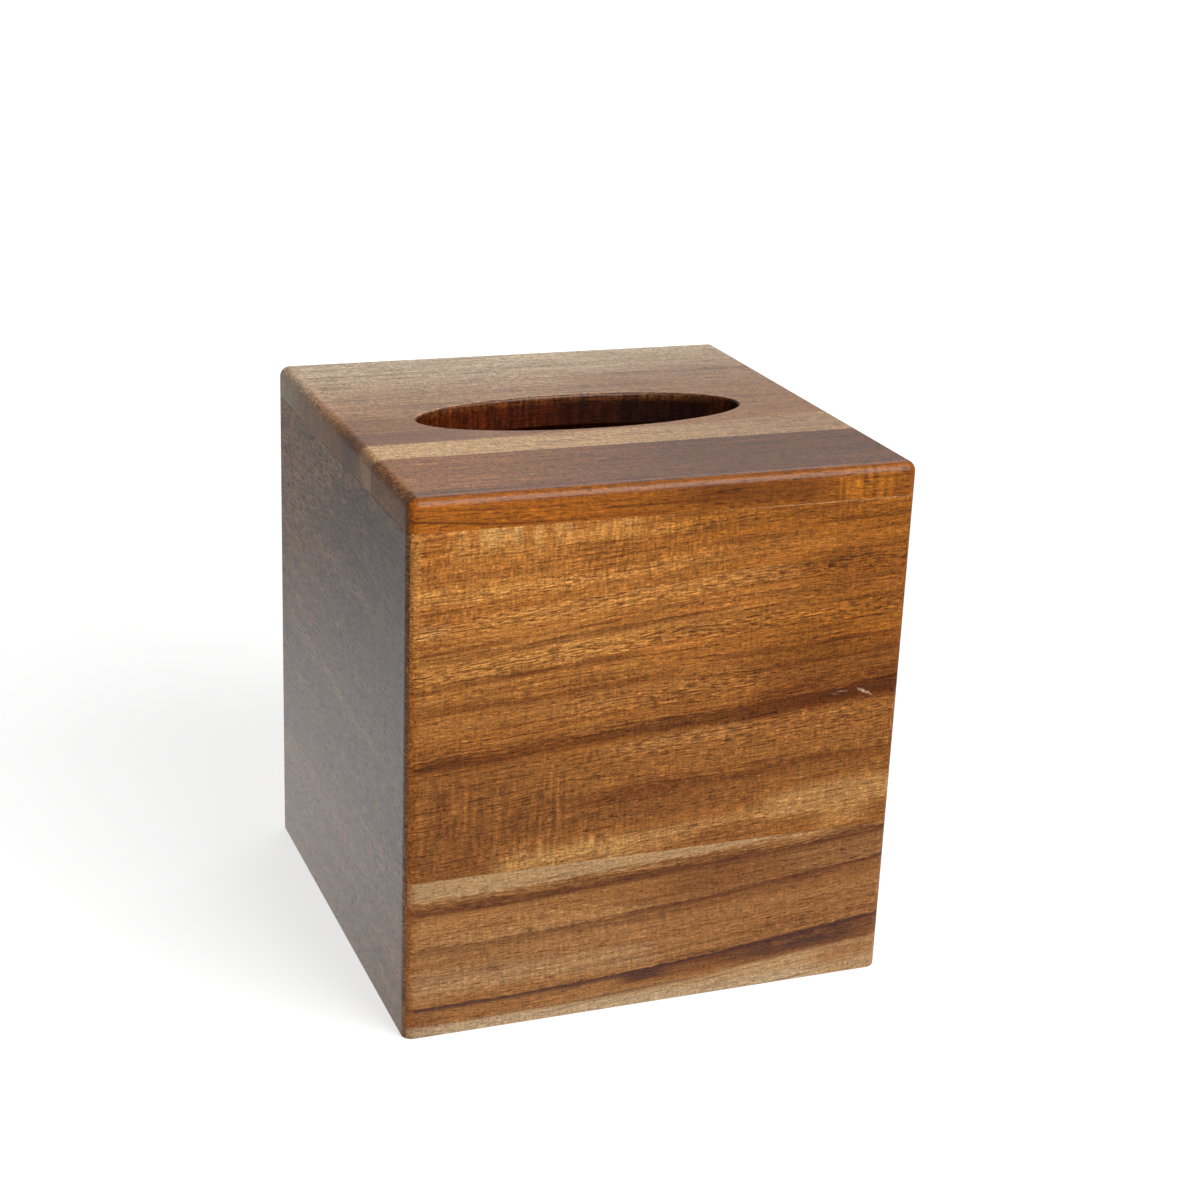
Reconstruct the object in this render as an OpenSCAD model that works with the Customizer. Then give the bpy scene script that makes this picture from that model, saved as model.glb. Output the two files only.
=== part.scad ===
// Wooden tissue box cover: a bottomless box of edge-glued staves, mitred at its four corners,
// with a board glued over the walls and an oval opening in it that the tissues are drawn through.
// Origin: middle of the foot, on the surface that the cover stands on.
// +X runs to the right along the front, +Y to the back, +Z up. The front is at -Y.

/* [Overall] */
// Width of the cover, left to right
body_w = 140; // [120:1:200]
// Depth of the cover, front to back
body_d = 138; // [120:1:200]
// Height of the cover, from the foot to the top face
body_h = 150; // [110:1:220]

/* [Walls] */
// Thickness of the four walls
wall_t = 9; // [8:0.5:12]
// Height of the glue line in each wall, which is the width of its lower stave
lower_stave_w = 46; // [30:1:70]

/* [Top board] */
// Thickness of the top board
top_t = 9; // [7:0.5:12]
// Width of the top board's front stave, up to the glue line
front_stave_w = 34.5; // [24:0.5:60]

/* [Opening] */
// Length of the oval opening, left to right
opening_w = 95; // [60:1:98]
// Width of the oval opening, front to back
opening_d = 34.5; // [24:0.5:60]
// Radius that eases the rim of the opening
rim_r = 1; // [0.5:0.25:2]

/* [Edges] */
// Radius of the round-over on the upright corners and round the top
edge_r = 3; // [1.5:0.5:5]
// Bevel that eases the outer edge of the foot
foot_bevel = 0.5; // [0.25:0.25:1]

/* [Corner splines] */
// Thickness of the spline hidden in each mitre
spline_t = 3; // [2:0.25:3.5]
// How far a spline reaches into each of its two walls
spline_reach = 3.5; // [2.5:0.25:4]
// Distance from the inner end of a mitre to the middle of its spline
spline_inset = 4.5; // [4:0.25:5]
// Height at which the slots for the splines stop above the foot
spline_stop = 12; // [8:1:20]
// Room for glue round a spline in its slot
glue_gap = 0.05; // [0.02:0.01:0.1]

/* [Hidden] */
$fn = 96;

// Height of the walls' upper rim, which the top board is glued to
wall_h = body_h - top_t;
// Half sizes of the clear space between the walls
inner_x = body_w / 2 - wall_t;
inner_y = body_d / 2 - wall_t;
// Half sizes out to the centres of the upright corners' round-overs
corner_x = body_w / 2 - edge_r;
corner_y = body_d / 2 - edge_r;
// Place of the top board's glue line
top_glue_y = front_stave_w - body_d / 2;
// What every cut and every piece of stock runs past the face that it crosses
overrun = 2;

// The rim's easing is a round-over cut in flats, with this many flats up its arc
rim_flats = 3;
// and this many flats round the oval
oval_flats = 60;

// Colours of the staves and splines
front_light = [0.71, 0.48, 0.26];
front_dark = [0.62, 0.41, 0.24];
side_light = [0.58, 0.44, 0.33];
side_dark = [0.52, 0.38, 0.28];
top_light = [0.66, 0.56, 0.47];
top_dark = [0.55, 0.45, 0.39];
spline_pale = [0.80, 0.66, 0.47];

// Section through the outer edge of the finished block, from the foot up to the round-over
module edge_section() {
    polygon([
        [0, 0],
        [edge_r - foot_bevel, 0],
        [edge_r, foot_bevel],
        [edge_r, body_h - edge_r],
        [0, body_h - edge_r]
    ]);
    translate([0, body_h - edge_r])
        intersection() {
            circle(edge_r);
            square(edge_r);
        }
}

// A straight run of the edge along Y, centred, with its outer face towards +X
module edge_run(length) {
    rotate([90, 0, 0])
        linear_extrude(length, center = true)
            edge_section();
}

// The outside of the whole cover as one block: the form that the glued-up boards are sanded to
module finished_block() {
    translate([-corner_x, -corner_y, 0])
        cube([2 * corner_x, 2 * corner_y, body_h]);
    for (turn = [0, 180])
        rotate(turn) {
            translate([corner_x, 0, 0])
                edge_run(2 * corner_y);
            translate([0, corner_y, 0])
                rotate(90)
                    edge_run(2 * corner_x);
            translate([corner_x, corner_y, 0])
                rotate_extrude(angle = 90)
                    edge_section();
            translate([-corner_x, corner_y, 0])
                rotate(90)
                    rotate_extrude(angle = 90)
                        edge_section();
        }
}

// Stock for a wall that faces -Y, mitred at both ends: half_span is half its inner length,
// and face is how far its inner face lies from the middle of the cover
module mitred_stock(half_span, face, low, high) {
    out = wall_t + overrun;
    translate([0, 0, low])
        linear_extrude(high - low)
            polygon([
                [-half_span, -face],
                [-half_span - out, -face - out],
                [half_span + out, -face - out],
                [half_span, -face]
            ]);
}

// Box of a spline on the mitre at corner (side, end), where each is -1 or 1, grown by gap
module spline_form(side, end, gap, high) {
    translate([side * inner_x, end * inner_y, spline_stop])
        rotate(atan2(end, side))
            translate([spline_inset - spline_t / 2 - gap, -spline_reach - gap, 0])
                cube([spline_t + 2 * gap, 2 * (spline_reach + gap), high - spline_stop]);
}

// Slots routed down from the upper rim into all four mitres
module spline_slots() {
    for (side = [-1, 1], end = [-1, 1])
        spline_form(side, end, glue_gap, wall_h + overrun);
}

// One stave of a wall, from height low to height high; quarter turns it to its side of the cover
module wall_stave(quarter, low, high) {
    across = quarter % 2 == 1;
    difference() {
        intersection() {
            finished_block();
            rotate(90 * quarter)
                mitred_stock(across ? inner_y : inner_x, across ? inner_x : inner_y, low, high);
        }
        spline_slots();
    }
}

// Ring of points round the oval at height z, with the oval grown by out on every side
function oval_ring(out, z) = [
    for (i = [0 : oval_flats - 1])
        let (a = 360 * i / oval_flats)
            [(opening_w / 2 + out) * cos(a), (opening_d / 2 + out) * sin(a), z]
];

// Rings up the eased rim. Each is [growth of the oval, height]. The first and last carry the
// outer flats on past the opening's wall and past the top face.
function rim_ring_sizes() =
    let (
        arc = [for (i = [0 : rim_flats])
            let (a = 90 * i / rim_flats)
                [rim_r * (1 - cos(a)), body_h - rim_r + rim_r * sin(a)]],
        first_step = arc[1] - arc[0],
        last_step = arc[rim_flats] - arc[rim_flats - 1]
    )
    concat([arc[0] - first_step], [for (i = [1 : rim_flats - 1]) arc[i]],
        [arc[rim_flats] + last_step]);

// Cutter for the eased rim, closed by a flat face at each end
module rim_cutter() {
    sizes = rim_ring_sizes();
    rings = [for (s = sizes) oval_ring(s[0], s[1])];
    points = [for (ring = rings, p = ring) p];
    last = len(rings) - 1;
    foot_cap = [[for (i = [0 : oval_flats - 1]) i]];
    top_cap = [[for (i = [oval_flats - 1 : -1 : 0]) last * oval_flats + i]];
    sides = [
        for (k = [0 : last - 1], i = [0 : oval_flats - 1])
            let (j = (i + 1) % oval_flats, low = k * oval_flats, high = low + oval_flats)
                [low + i, high + i, high + j, low + j]
    ];
    polyhedron(points, concat(foot_cap, sides, top_cap));
}

// The oval opening, with its eased rim
module opening() {
    translate([0, 0, wall_h - overrun])
        scale([opening_w, opening_d, 1])
            cylinder(d = 1, h = top_t + 2 * overrun);
    rim_cutter();
}

// One stave of the top board, from depth near to depth far, pierced where the opening lies
module top_stave(near, far) {
    difference() {
        intersection() {
            finished_block();
            translate([-body_w / 2 - overrun, near, wall_h])
                cube([body_w + 2 * overrun, far - near, top_t + overrun]);
        }
        opening();
    }
}

module front_lower_stave() {
    color(front_dark)
        wall_stave(0, -overrun, lower_stave_w);
}

module front_upper_stave() {
    color(front_light)
        wall_stave(0, lower_stave_w, wall_h);
}

module right_lower_stave() {
    color(side_dark)
        wall_stave(1, -overrun, lower_stave_w);
}

module right_upper_stave() {
    color(side_light)
        wall_stave(1, lower_stave_w, wall_h);
}

module back_lower_stave() {
    color(side_dark)
        wall_stave(2, -overrun, lower_stave_w);
}

module back_upper_stave() {
    color(side_light)
        wall_stave(2, lower_stave_w, wall_h);
}

module left_lower_stave() {
    color(side_dark)
        wall_stave(3, -overrun, lower_stave_w);
}

module left_upper_stave() {
    color(side_light)
        wall_stave(3, lower_stave_w, wall_h);
}

module top_front_stave() {
    color(top_dark)
        top_stave(-body_d / 2 - overrun, top_glue_y);
}

module top_rear_stave() {
    color(top_light)
        top_stave(top_glue_y, body_d / 2 + overrun);
}

module front_left_spline() {
    color(spline_pale)
        spline_form(-1, -1, 0, wall_h);
}

module front_right_spline() {
    color(spline_pale)
        spline_form(1, -1, 0, wall_h);
}

module back_left_spline() {
    color(spline_pale)
        spline_form(-1, 1, 0, wall_h);
}

module back_right_spline() {
    color(spline_pale)
        spline_form(1, 1, 0, wall_h);
}

front_lower_stave();
front_upper_stave();
back_lower_stave();
back_upper_stave();
left_lower_stave();
left_upper_stave();
right_lower_stave();
right_upper_stave();
top_front_stave();
top_rear_stave();
front_left_spline();
front_right_spline();
back_left_spline();
back_right_spline();
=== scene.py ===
# %% [markdown]
# # A wooden tissue box cover
# The cover is a bottomless box of hardwood in a satin lacquer. Its four walls are glued up from
# staves and mitred at the corners, and a board with an oval opening is glued over them. The
# construction is already solid and at its real size, so this lesson is about the finish: boards
# with softly sanded edges, and wood whose grain, pores and pale sapwood are all made by nodes.
# The frame comes first. Shapes are in metres, and the figure of the wood is in millimetres.

# %% Load the frame
import math

import bpy
from mathutils import Matrix, Vector


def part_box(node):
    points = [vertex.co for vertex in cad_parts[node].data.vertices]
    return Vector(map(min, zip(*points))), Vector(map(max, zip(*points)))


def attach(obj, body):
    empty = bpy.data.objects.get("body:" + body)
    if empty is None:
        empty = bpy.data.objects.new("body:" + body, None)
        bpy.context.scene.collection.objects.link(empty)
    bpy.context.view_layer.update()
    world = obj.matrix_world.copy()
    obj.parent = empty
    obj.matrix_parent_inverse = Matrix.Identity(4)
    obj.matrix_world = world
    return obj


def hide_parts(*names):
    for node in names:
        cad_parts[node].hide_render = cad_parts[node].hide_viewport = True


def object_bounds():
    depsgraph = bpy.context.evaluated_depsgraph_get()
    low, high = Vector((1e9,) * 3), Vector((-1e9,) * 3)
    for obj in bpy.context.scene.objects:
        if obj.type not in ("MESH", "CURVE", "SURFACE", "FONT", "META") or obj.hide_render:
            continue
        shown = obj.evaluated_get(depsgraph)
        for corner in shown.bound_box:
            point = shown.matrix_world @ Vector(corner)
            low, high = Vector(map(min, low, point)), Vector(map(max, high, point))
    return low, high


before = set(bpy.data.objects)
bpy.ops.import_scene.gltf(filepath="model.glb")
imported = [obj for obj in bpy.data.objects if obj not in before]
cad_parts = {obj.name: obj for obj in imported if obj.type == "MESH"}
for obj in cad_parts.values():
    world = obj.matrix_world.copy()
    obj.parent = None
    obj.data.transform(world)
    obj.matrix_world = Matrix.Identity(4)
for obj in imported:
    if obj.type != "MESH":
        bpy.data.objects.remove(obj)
cad_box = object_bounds()
MM = 0.001
print("nodes:", sorted(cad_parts))

# %% [markdown]
# ## The camera
# A camera is placed best before anything is modelled, because it decides which edges matter. The
# photograph looks down at the front from a little to the left, with the picture slightly turned.
# Azimuth, elevation and roll are given as a photographer would give them, and the matrix is built
# from them, which avoids guessing at Euler angles.

# %% Camera
SENSOR_MM = 36.0
FOCAL_MM = 68.28
AZIMUTH, ELEVATION, ROLL = (math.radians(a) for a in (21.48, 19.77, 2.26))
CAMERA_AT = Vector((-0.21888, -0.57662, 0.31562))

forward = Vector((math.sin(AZIMUTH) * math.cos(ELEVATION),
                  math.cos(AZIMUTH) * math.cos(ELEVATION),
                  -math.sin(ELEVATION)))
level_right = Vector((math.cos(AZIMUTH), -math.sin(AZIMUTH), 0))
level_up = level_right.cross(forward)
right = level_right * math.cos(ROLL) + level_up * math.sin(ROLL)
up = level_up * math.cos(ROLL) - level_right * math.sin(ROLL)

camera_data = bpy.data.cameras.new("camera")
camera_data.sensor_width = SENSOR_MM
camera_data.lens = FOCAL_MM
camera = bpy.data.objects.new("camera", camera_data)
bpy.context.scene.collection.objects.link(camera)
turned = Matrix((right, up, -forward)).transposed().to_4x4()
camera.matrix_world = Matrix.Translation(CAMERA_AT) @ turned
bpy.context.scene.camera = camera
print("camera at", tuple(round(c, 3) for c in CAMERA_AT))

# %% [markdown]
# ## Sizes
# Lengths that the frame already knows are read from it, so the new boards can't drift from it.
# Only the opening and the small easings are named here, with the number of steps that turn each
# one: the round-over on the outside, the bevel round the foot, the eased rim of the opening and
# its lower edge, and the hair-fine arris along the seam under the top board. A sliver is the
# distance below which two places count as one.

# %% Sizes from the frame
low, high = cad_box
WIDTH, DEPTH, HEIGHT = high - low
RIM_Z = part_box("front_upper_stave")[1].z
GLUE_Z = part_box("front_lower_stave")[1].z
GLUE_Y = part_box("top_front_stave")[1].y
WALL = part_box("front_lower_stave")[1].y - low.y
OPENING_W, OPENING_D = 95 * MM, 34.5 * MM
EDGE_R, EDGE_STEPS = 3 * MM, 10
FOOT_BEVEL, FOOT_STEPS = 0.5 * MM, 2
RIM_R, RIM_STEPS = 1 * MM, 6
ARRIS = 0.09 * MM
UNDERSIDE_R, UNDERSIDE_STEPS = 3 * ARRIS, 2
SLIVER = 0.01 * MM
print("cover", [round(s / MM, 2) for s in (WIDTH, DEPTH, HEIGHT)], "mm, walls", round(WALL / MM, 2))

# %% [markdown]
# ## Working like a joiner
# A joiner glues up a block, sands its edges round, and only then is each board seen as a part of
# it. The mesh can be made in the same order. Every board starts as the whole block over its own
# height, its edges are bevelled round, and bisect then saws away all but the board. So the
# round-over runs unbroken from board to board, as it does on the real box. An operator acts on
# all that is selected, so each step first says which piece and which edges it means.

# %% Helpers to select and saw
def pick_only(piece):
    bpy.ops.object.select_all(action="DESELECT")
    piece.select_set(True)
    bpy.context.view_layer.objects.active = piece


def start_block(name, bottom, top):
    bpy.ops.object.select_all(action="DESELECT")
    middle = (0, 0, (bottom + top) / 2)
    bpy.ops.mesh.primitive_cube_add(size=1, location=middle, scale=(WIDTH, DEPTH, top - bottom))
    block = bpy.context.object
    block.name = block.data.name = name
    bpy.ops.object.transform_apply(location=True, rotation=True, scale=True)
    return block


def pick_edges(piece, wanted):
    """Selects the edges of the piece for which wanted(end, end) is true, in edit mode."""
    bpy.ops.object.mode_set(mode="EDIT")
    bpy.ops.mesh.select_mode(type="EDGE")
    bpy.ops.mesh.select_all(action="DESELECT")
    bpy.ops.object.mode_set(mode="OBJECT")
    points = [v.co for v in piece.data.vertices]
    for edge in piece.data.edges:
        edge.select = wanted(*(points[i] for i in edge.vertices))
    bpy.ops.object.mode_set(mode="EDIT")


def bevel_picked(width, segments):
    bpy.ops.mesh.bevel(offset=width, segments=segments, affect="EDGES", clamp_overlap=False)
    bpy.ops.object.mode_set(mode="OBJECT")


def saw(piece, at, away):
    """Cuts the piece at a plane, drops what lies on the side that away points to, and closes it."""
    bpy.ops.object.mode_set(mode="EDIT")
    bpy.ops.mesh.select_all(action="SELECT")
    bpy.ops.mesh.bisect(plane_co=at, plane_no=away, clear_outer=True, use_fill=True)
    bpy.ops.object.mode_set(mode="OBJECT")


def upright(a, b):
    return abs(a.z - b.z) > SLIVER and (a - b).xy.length < SLIVER


def both_at(height):
    return lambda a, b: abs(a.z - height) < SLIVER and abs(b.z - height) < SLIVER


def ease(piece, height, on_line, width, segments):
    """Bevels the edges at a height that have both ends on a line, as on_line(point) says."""
    level = both_at(height)
    pick_edges(piece, lambda a, b: level(a, b) and on_line(a) and on_line(b))
    bevel_picked(width, segments)


# %% [markdown]
# ## Finishing a board
# Flat faces next to a small round-over shade badly if all normals are simply smoothed. The
# Weighted Normal modifier lets the large faces decide, so flats stay flat and the round-over
# carries the whole turn. It's applied, so the finished mesh holds the normals.

# %% Helper to finish
SMOOTH_BELOW = math.radians(40)


def finish_board(piece, node):
    pick_only(piece)
    bpy.ops.object.mode_set(mode="EDIT")
    bpy.ops.mesh.select_all(action="SELECT")
    bpy.ops.mesh.remove_doubles(threshold=SLIVER / 10)
    bpy.ops.mesh.normals_make_consistent(inside=False)
    bpy.ops.object.mode_set(mode="OBJECT")
    bpy.ops.object.shade_smooth_by_angle(angle=SMOOTH_BELOW)
    weighted = piece.modifiers.new("flat_faces_rule", "WEIGHTED_NORMAL")
    weighted.keep_sharp = True
    weighted.weight = 100
    bpy.ops.object.modifier_apply(modifier=weighted.name)
    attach(piece, "root")
    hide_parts(node)
    size = [round(s / MM, 2) for s in piece.dimensions]
    print(f"{piece.name}: {size} mm, {len(piece.data.polygons)} faces")
    return piece


# %% [markdown]
# ## The wall staves
# Each wall stave is sawn from its block by three cuts: two mitres at 45 degrees through the inner
# corners, and the inner face. The four walls differ only by a quarter turn and by which of the two
# plan sizes is their length, so one function makes all eight.

# %% Wall staves
SIDES = {"front": (0, -1), "right": (1, 0), "back": (0, 1), "left": (-1, 0)}


def wall_stave(side, part):
    bottom, top = (low.z, GLUE_Z) if part == "lower" else (GLUE_Z, RIM_Z)
    piece = start_block(f"{side}_{part}_board", bottom, top)
    pick_edges(piece, upright)
    bevel_picked(EDGE_R, EDGE_STEPS)
    if part == "lower":
        pick_edges(piece, both_at(low.z))
        bevel_picked(FOOT_BEVEL, FOOT_STEPS)
    out = Vector((*SIDES[side], 0))
    along = Vector((-out.y, out.x, 0))
    inner = Vector((WIDTH / 2 - WALL, DEPTH / 2 - WALL, 0))
    face = abs(out.dot(inner))
    half = abs(along.dot(inner))
    saw(piece, out * face, -out)
    saw(piece, out * face + along * half, (along - out).normalized())
    saw(piece, out * face - along * half, (-along - out).normalized())
    if part == "upper":
        ease_rim_line(piece)
    return finish_board(piece, f"{side}_{part}_stave")


def on_skin(point):
    """True for a point on the outside of the finished block's plan."""
    x, y = abs(point.x) - (WIDTH / 2 - EDGE_R), abs(point.y) - (DEPTH / 2 - EDGE_R)
    if x > 0 and y > 0:
        return abs(math.hypot(x, y) - EDGE_R) < 2 * SLIVER
    return max(x, y) > EDGE_R - SLIVER


def ease_rim_line(piece):
    """Breaks the arris of the skin where the top board meets the walls."""
    ease(piece, RIM_Z, on_skin, ARRIS, 1)


boards = {}
for side in SIDES:
    for part in ("lower", "upper"):
        boards[f"{side}_{part}"] = wall_stave(side, part)

# %% [markdown]
# ## The top board
# The top board is rounded on its upright corners and round its top face in one bevel, which gives
# each corner the small spherical patch that sanding leaves. The opening is an ellipse, cut by a
# Boolean modifier with a scaled cylinder, and its rim is then eased by a bevel of its own.

# %% Top staves
def top_block(name):
    piece = start_block(name, RIM_Z, high.z)
    at_top = both_at(high.z)
    pick_edges(piece, lambda a, b: upright(a, b) or at_top(a, b))
    bevel_picked(EDGE_R, EDGE_STEPS)
    return piece


front_top = top_block("top_front_board")
saw(front_top, Vector((0, GLUE_Y, 0)), Vector((0, 1, 0)))
ease_rim_line(front_top)
boards["top_front"] = finish_board(front_top, "top_front_stave")

rear_top = top_block("top_rear_board")
saw(rear_top, Vector((0, GLUE_Y, 0)), Vector((0, -1, 0)))

# %% The oval opening
OVAL_STEPS = 144
OVAL_SLACK = 0.002

bpy.ops.object.select_all(action="DESELECT")
bpy.ops.mesh.primitive_cylinder_add(vertices=OVAL_STEPS, radius=0.5, depth=1,
                                    location=(0, 0, high.z), scale=(OPENING_W, OPENING_D, 4 * WALL))
cutter = bpy.context.object
bpy.ops.object.transform_apply(location=True, rotation=True, scale=True)
pick_only(rear_top)
cut = rear_top.modifiers.new("opening", "BOOLEAN")
cut.operation, cut.solver, cut.object = "DIFFERENCE", "EXACT", cutter
bpy.ops.object.modifier_apply(modifier=cut.name)
bpy.data.objects.remove(cutter)


def on_oval(point):
    reach = math.hypot(2 * point.x / OPENING_W, 2 * point.y / OPENING_D)
    return abs(reach - 1) < OVAL_SLACK


ease(rear_top, high.z, on_oval, RIM_R, RIM_STEPS)
ease(rear_top, RIM_Z, on_oval, UNDERSIDE_R, UNDERSIDE_STEPS)
ease_rim_line(rear_top)
boards["top_rear"] = finish_board(rear_top, "top_rear_stave")

# %% [markdown]
# ## Node arithmetic that reads like arithmetic
# A wood material is mostly sums: a board's height plus a slow wander, times a mask. In the node
# editor each sum is a Math node with two wires. Here a small class holds a node's output, and its
# plus, minus, times and divide make the Math node. So a formula for nodes can be read as one.

# %% Wires
class Wire:
    """The output of a node, which can stand in a sum."""

    def __init__(self, socket):
        self.socket = socket

    def math(self, operation, other):
        return add_node(self.socket.id_data, "ShaderNodeMath", self, other,
                        settings={"operation": operation})

    def __add__(self, other):
        return self.math("ADD", other)

    def __sub__(self, other):
        return self.math("SUBTRACT", other)

    def __mul__(self, other):
        return self.math("MULTIPLY", other)

    def __truediv__(self, other):
        return self.math("DIVIDE", other)


def plug(value, slot):
    """Links a wire to an input, or sets the input to a plain value."""
    if isinstance(value, Wire):
        slot.id_data.links.new(value.socket, slot)
    else:
        slot.default_value = value


def add_node(tree, kind, *in_order, output=0, settings=None, **named):
    """Adds a node with these properties, and fills its inputs in their order or by name."""
    node = tree.nodes.new(kind)
    for name, value in (settings or {}).items():
        setattr(node, name, value)
    for value, slot in zip(in_order, node.inputs):
        plug(value, slot)
    for name, value in named.items():
        plug(value, node.inputs[name])
    return Wire(node.outputs[output])


# %% Steps, bands and colours
def soft_step(value, start, end):
    """0 before start and 1 past end, with a smooth rise. It falls where end is less than start."""
    return add_node(value.socket.id_data, "ShaderNodeMapRange", value, start, end,
                    settings={"interpolation_type": "SMOOTHSTEP"})


def between(value, start, end, soft):
    """1 from start to end, fading to 0 over twice soft at each of them."""
    return soft_step(value, start - soft, start + soft) * soft_step(value, end + soft, end - soft)


def colour_of(red, green, blue):
    """A colour given as a photographer reads it, 0 to 255, as the linear colour that nodes use."""
    shares = (level / 255 for level in (red, green, blue))
    return (*(s / 12.92 if s < 0.04045 else ((s + 0.055) / 1.055) ** 2.4 for s in shares), 1)


# %% [markdown]
# ## A board as a painter grains it
# A decorative painter lays a ground, drags fine lines through it, then paints the marks that make
# one board differ from the next: a dark streak, a band of sapwood, a patch of curl. The classes
# below do the same with nodes. A picture of wood laid on the faces would be quicker, but it would
# smear round the edges and stop at the opening's wall.
#
# First come the grain axes, in millimetres: u runs along the grain, v across the board's face, and
# w from the face down into the wood. As every pattern reads all three, the wood is solid: lines
# run over the rounded edges and turn into end grain on their own. A fourth, g, is v with the
# grain's own slope and wander taken out, so marks follow the grain. The table gives, for each
# wall, the way in which u runs on plan, and then the way of w.

# %% A board's axes
U_AND_W_WAYS = {"front": ((1, 0), (0, 1)), "back": ((-1, 0), (0, -1)),
                "left": ((0, -1), (1, 0)), "right": ((0, 1), (-1, 0))}
SEED_STEP = 17.3


class Axes:
    """The grain axes of one board, and the clouds of noise that everything else is made of.

    The seed moves the board to its own part of the noise, and flow is how far the grain lies
    above level at the left end, the middle and the right end.
    """

    def __init__(self, name, side, seed, flow=(0, 0, 0), wander=1.0, strand_mm=22):
        self.material = bpy.data.materials.new(name)
        self.material.use_nodes = True
        self.tree = self.material.node_tree
        self.seed = seed * SEED_STEP
        x, y, z = self.place_in_mm()
        if side == "top":
            self.u, self.v, self.w = x, y, z * -1 + high.z / MM
            self.half_length = WIDTH / MM / 2
        else:
            (ux, uy), (wx, wy) = U_AND_W_WAYS[side]
            self.half_length = (WIDTH if ux else DEPTH) / MM / 2
            depth = (DEPTH if ux else WIDTH) / MM / 2
            self.u = x * ux + y * uy
            self.v = z
            self.w = x * wx + y * wy + depth
        self.g = self.v - self.bend(*flow)
        slow = (self.clouds(75, 30, 1) - 0.5) * (4 * wander)
        quick = (self.clouds(16, 5, 2) - 0.5) * wander
        self.g = self.g + slow + quick
        self.strand_mm = strand_mm
        self.strand = self.clouds(strand_mm, 0.9, 2, 0.6) - 0.5
        self.fibre = self.clouds(3.2, 0.4, 1, 0.6) - 0.5
        self.ragged = self.strand * 1.6 + self.fibre
        self.pores = (self.clouds(60, 5, 1) - 0.5) * 1.2
        self.colour = None

    def node(self, kind, *in_order, **named):
        return add_node(self.tree, kind, *in_order, **named)

    def say(self, what):
        print(f"{self.material.name}: {what}, {len(self.tree.nodes)} nodes")

    def place_in_mm(self):
        place = self.node("ShaderNodeTexCoord", output="Object")
        scaled = self.node("ShaderNodeVectorMath", settings={"operation": "SCALE"},
                           Vector=place, Scale=1 / MM)
        split = self.tree.nodes.new("ShaderNodeSeparateXYZ")
        plug(scaled, split.inputs[0])
        return (Wire(output) for output in split.outputs)

    def clouds(self, along, across, detail=0, roughness=0.5):
        """Noise about 0.5, in clouds so many mm long, and so many wide and deep into the wood."""
        place = self.node("ShaderNodeCombineXYZ", self.u / along + self.seed, self.g / across,
                          self.w / across)
        return self.node("ShaderNodeTexNoise", Vector=place,
                         Scale=1.0, Detail=detail, Roughness=roughness)

    def bend(self, left, middle, right):
        """A line along the board, given where it is at the left end, the middle and the right."""
        t = self.u / self.half_length
        return t * t * ((left + right) / 2 - middle) + t * ((right - left) / 2) + middle


# %% [markdown]
# ## Masks
# A mask is 1 where a mark is and 0 where it isn't. Grained wood has no clean edges: a mark always
# frays into the fibres beside it. So each mask adds the fibres to its place before it is cut.

# %% Masks along and across the grain
class Masks(Axes):
    """Adds the masks, which are wires from 0 to 1."""

    def along(self, start, end, soft=8):
        """1 between two places along the board."""
        return between(self.u, start, end, soft)

    def streak(self, bottom, top, below, above):
        """A stripe along the grain between two edges, which fray by so many mm outside them."""
        bottom, top = (self.bend(*edge) if isinstance(edge, tuple) else edge
                       for edge in (bottom, top))
        over_bottom = self.g + self.ragged * (1.8 * below) - bottom
        over_top = self.g + self.ragged * (1.8 * above) - top
        return soft_step(over_bottom, -below, below / 3) * soft_step(over_top, above, -above / 3)

    def thread(self, height, start, end, above):
        """A thin line along the grain, from one place along the board to another."""
        line = self.streak(height - 0.6, height + 0.5, below=0.5, above=above)
        return line * self.along(start, end)

    def above(self, height, soft):
        """1 above a place across the board, with an edge that frays over so many mm."""
        return soft_step(self.g + self.ragged * (2 * soft) - height, -soft, soft)

    def below(self, height, soft):
        return soft_step(self.g + self.ragged * (2 * soft) - height, soft, -soft)

    def patch(self, start, end, bottom, top, soft=8, level=False):
        """A soft-edged area of the face. It follows the grain, or stays level."""
        height = (self.v if level else self.g) + self.ragged * (soft / 2)
        return self.along(start, end, soft) * between(height, bottom, top, soft / 3)


# %% Masks for small marks
DASH_CREST = 0.68
TALL_MM = 60


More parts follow.
